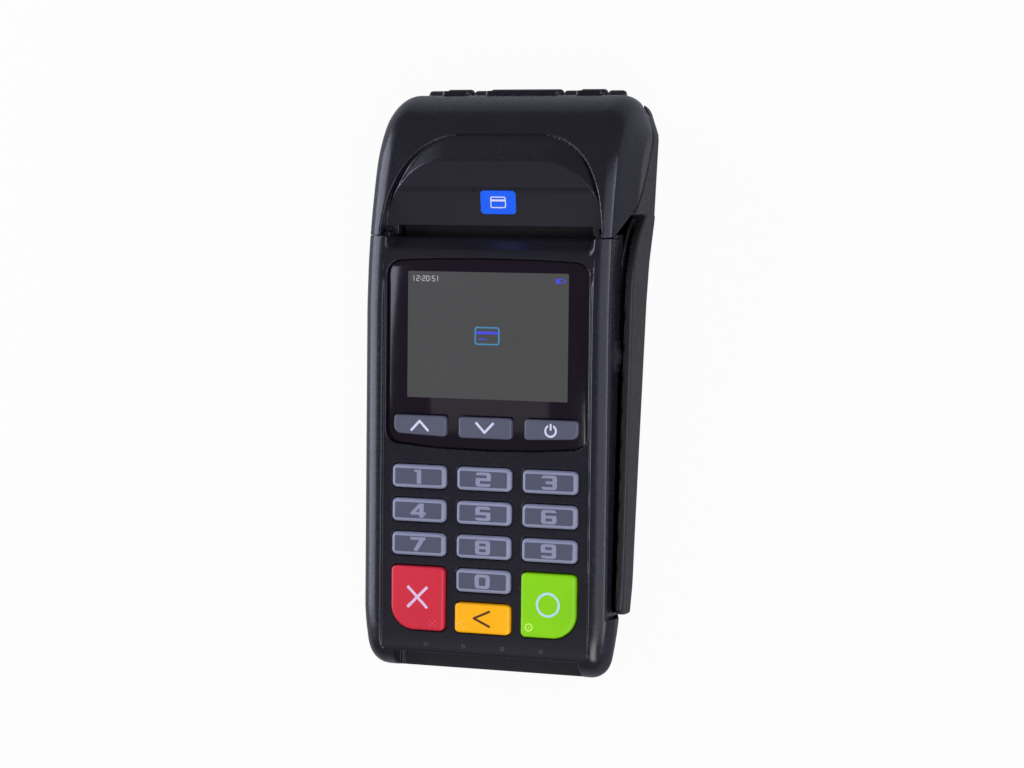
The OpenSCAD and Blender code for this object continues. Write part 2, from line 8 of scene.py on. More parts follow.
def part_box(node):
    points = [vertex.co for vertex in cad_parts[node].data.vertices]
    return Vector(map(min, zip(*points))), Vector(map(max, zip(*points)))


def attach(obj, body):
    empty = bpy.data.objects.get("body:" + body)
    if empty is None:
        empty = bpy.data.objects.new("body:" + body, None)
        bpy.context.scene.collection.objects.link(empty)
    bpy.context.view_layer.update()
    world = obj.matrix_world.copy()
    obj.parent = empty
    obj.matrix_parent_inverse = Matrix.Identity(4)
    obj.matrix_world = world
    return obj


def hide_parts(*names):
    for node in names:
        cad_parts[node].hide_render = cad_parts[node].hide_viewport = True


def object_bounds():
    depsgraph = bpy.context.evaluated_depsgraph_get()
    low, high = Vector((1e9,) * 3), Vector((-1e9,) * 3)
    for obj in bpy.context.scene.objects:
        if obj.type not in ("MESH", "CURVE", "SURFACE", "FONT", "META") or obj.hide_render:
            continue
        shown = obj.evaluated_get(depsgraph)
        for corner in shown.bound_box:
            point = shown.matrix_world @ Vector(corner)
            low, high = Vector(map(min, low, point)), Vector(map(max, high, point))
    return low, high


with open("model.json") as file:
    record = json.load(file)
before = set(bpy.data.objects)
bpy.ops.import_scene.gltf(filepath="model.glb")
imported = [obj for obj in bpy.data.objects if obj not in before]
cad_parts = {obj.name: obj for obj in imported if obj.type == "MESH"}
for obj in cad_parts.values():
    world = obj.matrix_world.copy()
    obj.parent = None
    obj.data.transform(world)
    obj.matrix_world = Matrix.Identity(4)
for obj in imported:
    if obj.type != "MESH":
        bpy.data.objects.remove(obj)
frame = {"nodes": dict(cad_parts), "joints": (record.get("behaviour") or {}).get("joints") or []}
cad_lo, cad_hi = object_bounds()

# ---------------------------------------------------------------- face frame
# Shapes are drawn in millimetres in the tilted face frame: u across, v along the keypad
# face, w out of it. The frame comes from the travel of key 5 and from its place.
press = next(j for j in frame["joints"] if j["name"] == "press_5")
TILT = math.atan2(press["axis"][1], -press["axis"][2])
CT, ST = math.cos(TILT), math.sin(TILT)
ROT = np.array([[1, 0, 0], [0, CT, -ST], [0, ST, CT]])
KEY_5_CENTRE = np.array([0.0, -51.3, -1.0])


def node_box(node):
    lo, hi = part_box(node)
    return np.array(lo) * 1000, np.array(hi) * 1000


def node_centre(node):
    lo, hi = node_box(node)
    return (lo + hi) / 2


ORIGIN = node_centre("key_5") - ROT @ KEY_5_CENTRE
HINGE = node_centre("hinge_pin")
HINGE_Y, HINGE_Z = 84.0, 17.0
SHIFT_Y = HINGE[1] - HINGE_Y
PORT_Y = node_centre("port_cover")[1] - SHIFT_Y
PORT_Z = node_centre("port_cover")[2]


def to_row(points):
    return (np.asarray(points, float) @ ROT.T + ORIGIN) / 1000


def to_face(point):
    return ROT.T @ (np.asarray(point, float) - ORIGIN)


def row_point(y, z):
    """(v, w) of a point given along the table and above it."""
    p = to_face([ORIGIN[0], y + SHIFT_Y, z])
    return (p[1], p[2])


def row_yz(v, w):
    """Place along the table and height above it."""
    return CT * v - ST * w + ORIGIN[1] - SHIFT_Y, ST * v + CT * w + ORIGIN[2]


# ---------------------------------------------------------------- sizes (mm)
HALF_W = 38.6
WALL = 2.0
SPLIT_W = -13.0
LID_V = 28.6
LIP_V = -93.2
CHIP_HALF_W = 28.67
RECESS_HALF_W = 31.7
SLOT_IN = 36.8
SLOT_OUT = 38.1
RAIL_OUT = 40.6
RAIL_V, RAIL_W, RAIL_TILT = -57.0, -6.5, math.radians(3.67)
SLOT_DEPTH = 11.5
PANEL_W, PANEL_V, PANEL_SLOPE = -6.4, 31.5, 0.17
KEY_W, KEY_H = 16.5, 6.7
ROW_1, ROW_PITCH, COL_PITCH = -41.4, 9.9, 20.0


# ---------------------------------------------------------------- field helpers
def rmax(a, b, r):
    """What two fields share, with the edge between them rounded to radius r."""
    return np.minimum(np.maximum(a, b), -r) + np.hypot(np.maximum(a + r, 0), np.maximum(b + r, 0))


def carve(d, c, r):
    """Field d without field c, with the new edge rounded to radius r."""
    return rmax(d, -c, r)


def rect(x, y, hx, hy, r):
    """A rectangle of half size hx, hy with corners of radius r."""
    qx, qy = np.abs(x) - hx + r, np.abs(y) - hy + r
    return np.minimum(np.maximum(qx, qy), 0) + np.hypot(np.maximum(qx, 0), np.maximum(qy, 0)) - r


def slab(x, a, b):
    """The layer between a and b."""
    return np.maximum(a - x, x - b)


def box3(x, y, z, hx, hy, hz, r):
    q = [np.abs(x) - hx + r, np.abs(y) - hy + r, np.abs(z) - hz + r]
    out = np.sqrt(sum(np.maximum(k, 0) ** 2 for k in q))
    return np.minimum(np.maximum(np.maximum(q[0], q[1]), q[2]), 0) + out - r


def bar(x, y, x0, y0, x1, y1, half):
    """A straight stroke with square ends."""
    dx, dy = x1 - x0, y1 - y0
    n = math.hypot(dx, dy)
    dx, dy = dx / n, dy / n
    s = (x - (x0 + x1) / 2) * dx + (y - (y0 + y1) / 2) * dy
    t = -(x - (x0 + x1) / 2) * dy + (y - (y0 + y1) / 2) * dx
    return rect(s, t, n / 2, half, min(half, 0.12))


def smooth(a, b, x):
    """A soft step from 0 at a to 1 at b."""
    t = np.clip((x - a) / (b - a), 0, 1)
    return t * t * (3 - 2 * t)


def rounded(points, reach):
    """A closed outline with each corner replaced by a curve that starts up to reach away."""
    steps = 6
    out = []
    n = len(points)
    for i in range(n):
        a, p, b = (np.array(points[(i + k) % n], float) for k in (-1, 0, 1))
        r = reach[i] if isinstance(reach, (list, tuple)) else reach
        da, db = np.linalg.norm(a - p), np.linalg.norm(b - p)
        s = p + (a - p) * min(r / da, 0.48)
        e = p + (b - p) * min(r / db, 0.48)
        for k in range(steps + 1):
            t = k / steps
            out.append((1 - t) ** 2 * s + 2 * t * (1 - t) * p + t * t * e)
    return np.array(out)


class Outline:
    """Signed distance to a closed outline in a plane, read from a fine table."""

    def __init__(self, points, lo, hi, step=0.25):
        self.lo, self.step = np.array(lo, float), step
        xs = np.arange(lo[0], hi[0] + step, step)
        ys = np.arange(lo[1], hi[1] + step, step)
        gx, gy = np.meshgrid(xs, ys, indexing="ij")
        best = np.full(gx.shape, 1e9)
        inside = np.zeros(gx.shape, bool)
        for a, b in zip(points, np.roll(points, -1, axis=0)):
            e = b - a
            n = float(e @ e)
            if n < 1e-12:
                continue
            px, py = gx - a[0], gy - a[1]
            t = np.clip((px * e[0] + py * e[1]) / n, 0, 1)
            best = np.minimum(best, (px - t * e[0]) ** 2 + (py - t * e[1]) ** 2)
            if a[1] != b[1]:
                inside ^= ((a[1] > gy) != (b[1] > gy)) & (gx < e[0] * (gy - a[1]) / e[1] + a[0])
        self.table = np.sqrt(best) * np.where(inside, -1, 1)

    def __call__(self, x, y):
        x, y = np.broadcast_arrays(x, y)
        fx = np.clip((x - self.lo[0]) / self.step, 0, self.table.shape[0] - 1.001)
        fy = np.clip((y - self.lo[1]) / self.step, 0, self.table.shape[1] - 1.001)
        i, j = fx.astype(int), fy.astype(int)
        s, t = fx - i, fy - j
        g = self.table
        return ((1 - s) * ((1 - t) * g[i, j] + t * g[i, j + 1])
                + s * ((1 - t) * g[i + 1, j] + t * g[i + 1, j + 1]))


# ---------------------------------------------------------------- mesh makers
def add_mesh(name, points, faces, normals=None):
    """A smooth-shaded mesh from points in the face frame."""
    me = bpy.data.meshes.new(name)
    me.from_pydata(to_row(points).tolist(), [], faces)
    me.update()
    me.polygons.foreach_set("use_smooth", [True] * len(me.polygons))
    if normals is not None:
        me.normals_split_custom_set_from_vertices((normals @ ROT.T).tolist())
    ob = bpy.data.objects.new(name, me)
    bpy.context.scene.collection.objects.link(ob)
    return ob


def gradient(field, p, e):
    g = np.empty_like(p)
    for k in range(3):
        q = p.copy()
        q[:, k] += e
        hi = field(q[:, 0], q[:, 1], q[:, 2])
        q[:, k] -= 2 * e
        g[:, k] = (hi - field(q[:, 0], q[:, 1], q[:, 2])) / (2 * e)
    return g


def field_mesh(name, field, lo, hi, step, polish=3, place=None):
    """The surface where field is 0, as quads with one vertex in each cell that it crosses."""
    lo = np.array(lo, float)
    step = np.ones(3) * step
    n = np.ceil((np.array(hi) - lo) / step).astype(int) + 1
    ax = [lo[k] + step[k] * np.arange(n[k]) for k in range(3)]
    f = np.empty(n, np.float32)
    block = max(1, int(4e5 / (n[1] * n[2])))
    for i in range(0, n[0], block):
        f[i:i + block] = field(ax[0][i:i + block, None, None], ax[1][None, :, None], ax[2][None, None, :])
    neg = f < 0
    c = n - 1
    corners = [(a, b, d) for a in (0, 1) for b in (0, 1) for d in (0, 1)]
    count = np.zeros(c, np.int8)
    for a, b, d in corners:
        count += neg[a:a + c[0], b:b + c[1], d:d + c[2]]
    cells = np.argwhere((count > 0) & (count < 8))
    index = np.full(c, -1, np.int32)
    index[tuple(cells.T)] = np.arange(len(cells))
    total, hits = np.zeros((len(cells), 3)), np.zeros(len(cells))
    for a in corners:
        for k in range(3):
            if a[k]:
                continue
            b = list(a)
            b[k] = 1
            fa = f[tuple((cells + a).T)].astype(float)
            fb = f[tuple((cells + b).T)].astype(float)
            cross = (fa < 0) != (fb < 0)
            t = np.where(cross, fa / np.where(cross, fa - fb, 1), 0)
            p = np.array(a, float)[None, :] + np.zeros((len(cells), 3))
            p[:, k] += t
            total += p * cross[:, None]
            hits += cross
    points = lo + (cells + total / hits[:, None]) * step
    faces = []
    for k in range(3):
        i, j = (k + 1) % 3, (k + 2) % 3
        low = [slice(None)] * 3
        high = [slice(None)] * 3
        low[k], high[k] = slice(0, -1), slice(1, None)
        a = neg[tuple(low)]
        edges = np.argwhere(a != neg[tuple(high)])
        keep = (edges[:, i] > 0) & (edges[:, j] > 0) & (edges[:, i] < c[i]) & (edges[:, j] < c[j])
        edges = edges[keep]
        inside_low = a[tuple(edges.T)]
        quad = []
        for di, dj in ((-1, -1), (0, -1), (0, 0), (-1, 0)):
            q = edges.copy()
            q[:, i] += di
            q[:, j] += dj
            quad.append(index[tuple(q.T)])
        quad = np.stack(quad, 1)
        quad[~inside_low] = quad[~inside_low][:, ::-1]
        faces.append(quad)
    faces = np.concatenate(faces)
    start = points.copy()
    for _ in range(polish):
        g = gradient(field, points, 0.2 * step.min())
        value = field(points[:, 0], points[:, 1], points[:, 2])
        move = -(value / np.maximum((g ** 2).sum(1), 0.05))[:, None] * g
        size = np.linalg.norm(move, axis=1)[:, None]
        points = points + move * np.minimum(1, 0.4 * step.min() / np.maximum(size, 1e-9))
    points = start + np.clip(points - start, -0.8 * step, 0.8 * step)
    g = gradient(field, points, 0.35 * step.min())
    normals = g / np.maximum(np.linalg.norm(g, axis=1), 1e-9)[:, None]
    if place is not None:
        points, normals = place(points, normals)
    return add_mesh(name, points, faces.tolist(), normals)


def offset_corners(poly, inset):
    """A convex outline, counter-clockwise, with every edge moved inwards."""
    p = np.array(poly, float)
    n = len(p)
    out = []
    for i in range(n):
        a, b, c = p[i - 1], p[i], p[(i + 1) % n]
        d1, d2 = (b - a) / np.linalg.norm(b - a), (c - b) / np.linalg.norm(c - b)
        n1, n2 = np.array([-d1[1], d1[0]]), np.array([-d2[1], d2[0]])
        m = np.array([n1, n2])
        if abs(np.linalg.det(m)) < 1e-6:
            out.append(b + n1 * inset)
            continue
        out.append(b + np.linalg.solve(m, [inset, inset]))
    return np.array(out)


def loop(poly, radii, inset=0.0, steps=8):
    """The outline's points after moving its edges inwards and rounding its corners with arcs."""
    q = offset_corners(poly, inset)
    n = len(q)
    out = []
    for i in range(n):
        a, b, c = q[i - 1], q[i], q[(i + 1) % n]
        d1, d2 = (a - b) / np.linalg.norm(a - b), (c - b) / np.linalg.norm(c - b)
        r = max(radii[i] - inset, 0.08)
        half = math.acos(max(-1, min(1, float(d1 @ d2)))) / 2
        cut = r / math.tan(half)
        s, e = b + d1 * cut, b + d2 * cut
        centre = b + (d1 + d2) / np.linalg.norm(d1 + d2) * r / math.sin(half)
        a0 = math.atan2(*(s - centre)[::-1])
        a1 = math.atan2(*(e - centre)[::-1])
        while a1 < a0:
            a1 += 2 * math.pi
        if a1 - a0 > math.pi:
            a1 -= 2 * math.pi
        for k in range(steps + 1):
            t = a0 + (a1 - a0) * k / steps
            out.append(centre + r * np.array([math.cos(t), math.sin(t)]))
    return np.array(out)


SHARP_EDGE = math.radians(32)


def loft(name, poly, radii, rings, steps=8):
    """A closed solid through outlines at (inset, w), from the lowest to the last."""
    pts, faces = [], []
    for inset, w in rings:
        lp = loop(poly, radii, inset, steps)
        pts.append(np.column_stack([lp, np.full(len(lp), w)]))
    n = len(pts[0])
    for k in range(len(rings) - 1):
        for i in range(n):
            j = (i + 1) % n
            faces.append((k * n + i, k * n + j, (k + 1) * n + j, (k + 1) * n + i))
    faces.append(tuple(reversed(range(n))))
    faces.append(tuple(range((len(rings) - 1) * n, len(rings) * n)))
    ob = add_mesh(name, np.concatenate(pts), faces)
    ob.data.set_sharp_from_angle(angle=SHARP_EDGE)
    return ob


def rect_poly(cu, cv, hw, hh):
    return [(cu - hw, cv - hh), (cu + hw, cv - hh), (cu + hw, cv + hh), (cu - hw, cv + hh)]


# ---------------------------------------------------------------- materials
def srgb(r, g, b):
    def lin(c):
        c /= 255
        return c / 12.92 if c <= 0.04045 else ((c + 0.055) / 1.055) ** 2.4
    return (lin(r), lin(g), lin(b), 1.0)


MATERIALS = {}
PLASTIC_IOR = 1.42


def material(name, colour, rough=0.4, metal=0.0, grain=0.25, bump=0.02, vary=0.06, rough_vary=0.05,
             glow=0.0):
    """A finish with a colour that drifts slightly, a roughness that drifts, and a fine grain in mm."""
    if name in MATERIALS:
        return MATERIALS[name]
    m = bpy.data.materials.new(name)
    m.use_nodes = True
    nt = m.node_tree
    nodes, links = nt.nodes, nt.links
    bsdf = nodes["Principled BSDF"]
    coord = nodes.new("ShaderNodeTexCoord")

    def noise(size_mm, detail):
        t = nodes.new("ShaderNodeTexNoise")
        t.inputs["Scale"].default_value = 1000.0 / size_mm
        t.inputs["Detail"].default_value = detail
        links.new(coord.outputs["Object"], t.inputs["Vector"])
        return t.outputs["Fac"]

    def spread(value, a, b):
        r = nodes.new("ShaderNodeMapRange")
        r.inputs["From Min"].default_value = 0.3
        r.inputs["From Max"].default_value = 0.7
        r.inputs["To Min"].default_value = a
        r.inputs["To Max"].default_value = b
        links.new(value, r.inputs["Value"])
        return r.outputs["Result"]

    broad = noise(22, 3)
    mix = nodes.new("ShaderNodeMix")
    mix.data_type = "RGBA"
    mix.inputs["A"].default_value = tuple(c * (1 - vary) for c in colour[:3]) + (1,)
    mix.inputs["B"].default_value = tuple(min(1, c * (1 + vary)) for c in colour[:3]) + (1,)
    links.new(spread(broad, 0, 1), mix.inputs["Factor"])
    links.new(mix.outputs["Result"], bsdf.inputs["Base Color"])
    drift = spread(noise(1.4, 4), max(0.02, rough - rough_vary), rough + rough_vary)
    links.new(drift, bsdf.inputs["Roughness"])
    fine = noise(grain, 2)
    bn = nodes.new("ShaderNodeBump")
    bn.inputs["Strength"].default_value = bump
    bn.inputs["Distance"].default_value = grain / 1000 * 0.5
    links.new(fine, bn.inputs["Height"])
    links.new(bn.outputs["Normal"], bsdf.inputs["Normal"])
    bsdf.inputs["Metallic"].default_value = metal
    bsdf.inputs["IOR"].default_value = PLASTIC_IOR
    if glow:
        nt.links.remove(bsdf.inputs["Base Color"].links[0])
        bsdf.inputs["Base Color"].default_value = (0.01, 0.01, 0.01, 1)
        links.new(mix.outputs["Result"], bsdf.inputs["Emission Color"])
        bsdf.inputs["Emission Strength"].default_value = glow
    MATERIALS[name] = m
    return m


CASE = material("charcoal_case", srgb(27, 25, 33), 0.25, grain=0.35, bump=0.015)
BACK = material("charcoal_back", srgb(32, 30, 31), 0.42, grain=0.4, bump=0.07)
LENS = material("lens_black", srgb(20, 11, 24), 0.1, grain=2.0, bump=0.004, vary=0.1, rough_vary=0.02)
SCREEN = material("screen_grey", srgb(60, 60, 59), 0.5, grain=0.3, bump=0.0, vary=0.03, glow=1.0)
SCREEN_WHITE = material("screen_white", srgb(215, 215, 220), 0.5, glow=0.9, bump=0.0)
SCREEN_BLUE = material("screen_blue", srgb(60, 70, 230), 0.5, glow=0.9, bump=0.0)
SCREEN_TEAL = material("screen_teal", srgb(60, 140, 190), 0.5, glow=0.9, bump=0.0)
SLATE = material("key_slate_face", srgb(76, 78, 93), 0.42, grain=0.3, bump=0.05)
NAV = material("nav_slate_face", srgb(82, 83, 97), 0.38, grain=0.3, bump=0.05)
LILAC = material("key_lilac", srgb(132, 134, 154), 0.45, grain=0.3, bump=0.04)
PALE = material("mark_pale", srgb(206, 203, 222), 0.45, grain=0.3, bump=0.02)
RED = material("key_red_face", srgb(200, 38, 56), 0.42, grain=0.3, bump=0.05)
AMBER = material("key_amber_face", srgb(246, 172, 0), 0.42, grain=0.3, bump=0.05)
GREEN = material("key_green_face", srgb(128, 200, 0), 0.42, grain=0.3, bump=0.05)
BROWN = material("mark_brown", srgb(84, 44, 18), 0.5, grain=0.3, bump=0.02)
ICE = material("mark_ice", srgb(178, 208, 214), 0.45, grain=0.3, bump=0.02)
PINK = material("mark_pink", srgb(215, 186, 212), 0.45, grain=0.3, bump=0.02)
SOFT_RED = material("mark_soft_red", srgb(222, 84, 100), 0.45, grain=0.3, bump=0.02)
SOFT_AMBER = material("mark_soft_amber", srgb(255, 206, 84), 0.45, grain=0.3, bump=0.02)
SOFT_GREEN = material("mark_soft_green", srgb(184, 230, 84), 0.45, grain=0.3, bump=0.02)
BADGE = material("badge_blue", srgb(24, 88, 214), 0.3, grain=0.5, bump=0.01, vary=0.25)
RUBBER = material("rubber_black", srgb(30, 30, 31), 0.75, grain=0.25, bump=0.15)
SILICONE = material("silicone_grey", srgb(150, 150, 156), 0.6, grain=0.3, bump=0.1)
PLATEN = material("platen_black", srgb(14, 14, 15), 0.8, grain=0.25, bump=0.15)
HEAD = material("head_dull_metal", srgb(72, 72, 78), 0.5, 1.0, grain=0.3, bump=0.04)
PIPE = material("light_pipe", srgb(66, 67, 78), 0.3, grain=0.3, bump=0.02)
BOARD = material("board_green", srgb(18, 84, 44), 0.35, grain=0.6, bump=0.1, vary=0.2)
BLACK = material("moulding_black", srgb(24, 24, 26), 0.45, grain=0.3, bump=0.06)
STEEL = material("steel", srgb(176, 178, 184), 0.3, 1.0, grain=0.3, bump=0.04)
DULL_STEEL = material("pressed_steel", srgb(150, 152, 156), 0.42, 1.0, grain=0.5, bump=0.06)
BRASS = material("brass", srgb(196, 160, 84), 0.3, 1.0, grain=0.3, bump=0.04)
CERAMIC = material("head_ceramic_face", srgb(206, 196, 170), 0.3, grain=0.4, bump=0.03)
ACETAL = material("acetal_grey", srgb(70, 70, 74), 0.45, grain=0.3, bump=0.04)
PAPER = material("thermal_paper_face", srgb(240, 239, 236), 0.7, grain=0.2, bump=0.08, vary=0.02)
CARD_CORE = material("core_card_face", srgb(170, 146, 110), 0.8, grain=0.4, bump=0.12)
WRAP = material("battery_wrap_face", srgb(38, 52, 96), 0.35, grain=0.8, bump=0.03)

NODE_FINISH = {
    "hinge_pin": STEEL, "lcd_module": BLACK, "keypad_membrane": SILICONE, "main_board": BOARD,
    "chip_card_reader": BLACK, "mag_head": HEAD, "mag_head_spring": STEEL, "print_head": CERAMIC,
    "printer_frame": DULL_STEEL, "platen_roller": PLATEN, "platen_shaft": STEEL,
    "platen_gear": ACETAL, "idler_gear": ACETAL, "motor_pinion": BRASS, "stepper_motor": DULL_STEEL,
    "paper_roll": PAPER, "roll_core": CARD_CORE, "paper_cradle": BLACK, "battery_pack": WRAP,
    "battery_door": BACK, "rubber_feet": RUBBER, "case_screws": DULL_STEEL, "speaker": BLACK,
    "charge_port": STEEL, "port_cover": RUBBER, "light_pipes": PIPE,
    "front_case": CASE, "back_case": BACK, "printer_lid": CASE, "display_lens": LENS,
}


def finish_piece(ob, mat, body, slot_name, *nodes):
    """Gives a piece its material and its body, and hides the CAD nodes that it stands for; slot_name is not
    used.
    """
    ob.data.materials.clear()
    ob.data.materials.append(mat)
    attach(ob, body)
    if nodes:
        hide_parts(*nodes)
    return ob


# ---------------------------------------------------------------- housing outlines
SIDE_POINTS = [
    (-88, 0.8), (-92.5, 0.2), (-96, -2), (-98.2, -5.5), (-98.8, -10),
    row_point(-86.4, 6.2), row_point(-85.2, 3.2), row_point(-82.5, 1.2), row_point(79, 1.2),
    row_point(82.2, 2.8), row_point(83.8, 6.2), row_point(84, 17), row_point(83.6, 22),
    (70.2, -26), (68, -20), (64.6, -15), (60, -11.4), (54, -8.1), (48, -5.9), (41, -4), (35, -2.5),
    (28.5, -1.2), (20, 0), (8, 0.8)]
LID_POINTS = [
    (LID_V, 5.5), (LID_V, -3.5), (33, -9.5), (39, -17), (45, -23), (55, -30), (66, -35.4),
    row_point(HINGE_Y - 2, HINGE_Z), row_point(120, HINGE_Z), row_point(120, 60)]
LID_REACH = [0.1, 1.5, 4, 4, 4, 5, 4, 2, 0.1, 0.1]
RAIL_TOP_V = 35.3
RAIL_POINTS = [
    (-80.2, -10.5), (-79.2, -5.6), (-74, -5.6), (18, -11.3), (29, -17), (RAIL_TOP_V, -25),
    (RAIL_TOP_V, -8), (62, -14), (76, -30), (76, -42.5), (35, -36.5), (20, -33.4), (-74, -22.6), (-80.2, -21)]
RAIL_REACH = [3, 2.6, 2, 5, 5, 0.4, 0.3, 3, 3, 3, 6, 6, 3, 3.5]
RAIL_KNEE = [(-80, -14.3), (-57, -17), (-34, -20), (-12, -23), (10, -26), (21.5, -28.5), (42, -37)]
LENS_POLY = [
    (-30.7, -31.6), (-16, -32.8), (0, -33.2), (16, -32.8), (30.7, -31.6),
    (30.7, 21.3), (16, 22.0), (0, 22.2), (-16, 22.0), (-30.7, 21.3)]
LENS_RADII = [4, 30, 60, 30, 4, 4.4, 30, 60, 30, 4.4]

SIDE = Outline(rounded(SIDE_POINTS, 3), (-104, -62), (86, 6))
LID = Outline(rounded(LID_POINTS, LID_REACH), (-104, -62), (86, 6))
RAIL = Outline(rounded(RAIL_POINTS, RAIL_REACH), (-104, -62), (86, 6))
LENS_EDGE = Outline(loop(LENS_POLY, LENS_RADII), (-36, -38), (36, 27), 0.2)


def body_field(u, v, w, side):
    z = row_yz(v, w)[1]
    radius = 6.5 + 1.2 * smooth(50, 66, v) + 0.8 * smooth(16, 10, z) - 1.5 * smooth(-88, -97, v)
    return rmax(side, np.abs(u) - half_width(v, z), radius)


def half_width(v, z):
    """Half of the width there: upright walls that draw in towards the back and at the card end."""
    return HALF_W - 0.34 * np.maximum(0, 20.2 - z) - 2.3 * np.clip((-80 - v) / 18.8, 0, 1) ** 1.5


def right_half(side):
    """Half width on the right past the slot, where the wall bulges out below the surface."""
    return HALF_W + (RAIL_OUT - HALF_W) * smooth(3, 8, -side)


def ramp(side):
    """The right-hand limit beyond the slot's upper end: a wall that slopes out with depth."""
    return SLOT_IN + (RAIL_OUT - SLOT_IN) * np.clip((-side - 2.0) / 10.3, 0, 1)


def rail_frame(v, w):
    c, s = math.cos(RAIL_TILT), math.sin(RAIL_TILT)
    return (v - RAIL_V) * c - (w - RAIL_W) * s, (v - RAIL_V) * s + (w - RAIL_W) * c


def corner_rect(x, y, hx, hy, r, big, side):
    """A rounded rectangle with one lower corner of a larger radius."""
    rr = np.where((x * side > 0) & (y < 0), big, r)
    qx, qy = np.abs(x) - hx + rr, np.abs(y) - hy + rr
    return np.minimum(np.maximum(qx, qy), 0) + np.hypot(np.maximum(qx, 0), np.maximum(qy, 0)) - rr


PIPE_U = (-17.7, -6.0, 6.0, 17.7)
PIPE_V = -90.6


def key_holes(u, v):
    g = 0.28
    uf = u - COL_PITCH * np.clip(np.round(u / COL_PITCH), -1, 1)
    row = np.clip(np.round((ROW_1 - v) / ROW_PITCH), 0, 2)
    d = rect(uf, v - (ROW_1 - ROW_PITCH * row), KEY_W / 2 + g, KEY_H / 2 + g, 1.7)
    d = np.minimum(d, rect(u, v - (ROW_1 - 3 * ROW_PITCH), KEY_W / 2 + g, KEY_H / 2 + g, 1.7))
    d = np.minimum(d, rect(u, v + 82, 8.4 + g, 4.35 + g, 1.5))
    for s in (-1, 1):
        d = np.minimum(d, corner_rect(u - s * 20, v + 77.1, 8.2 + g, 9.3 + g, 1.6, 7.5, s))
    return d


def slot_field(u, v, w, inner, outer):
    """The stripe slot and the space above its rail."""
    rw = rail_frame(v, w)[1]
    groove = np.maximum(slab(u, inner, outer), -(rw + SLOT_DEPTH))
    above = np.maximum(np.maximum(inner - u, -RAIL(v, w)), -(rw + SLOT_DEPTH + 2))
    return np.maximum(np.minimum(groove, above), slab(v, -80.4, RAIL_TOP_V - 0.2))


def front_field(u, v, w):
    side = SIDE(v, w)
    au = np.abs(u)
    z = row_yz(v, w)[1]
    radius = 6.5 - 1.5 * smooth(-88, -97, v)
    half = half_width(v, z)
    b = rmax(rmax(side, au - half, radius), np.minimum(u - SLOT_IN, v + 80.4), 0.4)
    fall = ((v - 23.4) * 6.4 + w * 5.3) / math.hypot(6.4, 5.3)
    hollow = np.maximum(np.maximum(b + WALL, w + 2.3), np.maximum(-(v + 91.2), fall + 1.1))
    d = np.maximum(b, -hollow)
    d = rmax(d, -(w - SPLIT_W), 0.3)
    d = rmax(d, v - (LID_V - 0.1), 0.15)
    recess = np.maximum(rect(u, v - (LIP_V + 60 - 0.6), RECESS_HALF_W, 60 + 0.6, 4.5), -w)
    d = carve(d, recess, 0.7)
    d = carve(d, np.maximum(rmax(au - 31.3, -fall, 1.6), -(w + 6.4)), 1.0)
    jaw = np.maximum(np.maximum(au - CHIP_HALF_W, v - LIP_V), -(w + 8))
    d = carve(d, jaw, 0.35)
    d = carve(d, np.maximum(np.maximum(au - 27.6, slab(w, -8.6, -6.2)), v + 80), 0.3)
    lens = LENS_EDGE(u, v) - 0.15
    d = carve(d, np.maximum(lens, -(w + 2.3)), 0.3)
    d = carve(d, np.maximum(key_holes(u, v), -(w + 5)), 0.3)
    tongue = np.maximum(slab(body_field(u, v, w, side), -2.9, -2.05), -(w - SPLIT_W + 1.2))
    tongue = np.maximum(tongue, v - LID_V - 1.0)
    tongue = np.maximum(tongue, np.minimum(LID_V - 2.5 - v, w - SPLIT_W - 2))
    tongue = np.maximum(tongue, np.minimum(31.5 - au, w + 12))
    return np.minimum(d, np.maximum(tongue, u - SLOT_IN + 0.1))


def lid_field(u, v, w):
    side = SIDE(v, w)
    au = np.abs(u)
    bulge = (right_half(side) - HALF_W) * (u > 0)
    b = rmax(body_field(u - bulge, v, w, side), u - ramp(side), 0.5)
    plane = (w - (PANEL_W + PANEL_SLOPE * (v - PANEL_V))) * 0.986
    across = au * (1 - 0.07 * smooth(48, LID_V, v))
    arch = rect(across, v - 10.8, 31.4, 40, 17)
    hood = rmax((arch * 1.25 + plane) / 1.6, plane, 0.3)
    edge = rect(across, v - 18.4, 31.3, 40, 20.4)
    raised = np.minimum(b, np.maximum(np.maximum(hood, edge), -1.5 - side))
    outer = carve(raised, np.maximum(edge, -hood), 0.55)
    d = np.maximum(outer, -(outer + WALL))
    d = rmax(d, LID(v, w), 0.3)
    d = carve(d, rmax(au - 29.6, v - 31.5, 0.25), 0.3)
    lugs = box3(au - 30.8, v - 32, w + 11.5, 1, 3.1, 6.5, 0.3)
    d = np.minimum(d, np.maximum(lugs, outer))
    y, zz = row_yz(v, w)
    ky, kz = y - HINGE_Y, zz - HINGE_Z
    tube = np.hypot(ky, kz) - 2.4
    root = np.maximum(slab(ky, -1.9, 0.9), slab(kz, 0, 6))
    knuckle = np.minimum(tube, root)
    ends = np.minimum(slab(u, -11.5, 11.5), np.minimum(slab(u, -25.2, -16.7), slab(u, 16.7, 25.2)))
    d = np.minimum(d, rmax(knuckle, ends, 1.1))
    return d


def rail_field(u, v, w):
    p = RAIL(v, w)
    side = SIDE(v, w)
    knee = np.interp(v, *zip(*RAIL_KNEE))
    out = RAIL_OUT - 0.4 * smooth(-70, -80, v) - 0.34 * np.maximum(0, knee - w)
    out = np.where(v > RAIL_TOP_V - 0.3, np.minimum(out, ramp(side)), out)
    d = rmax(rmax(p, u - out, 0.9), rmax(side, u - right_half(side), 7.7), 0.3)
    d = np.maximum(d, 36.2 - u)
    return np.maximum(d, -(LID(v, w) - 0.2))


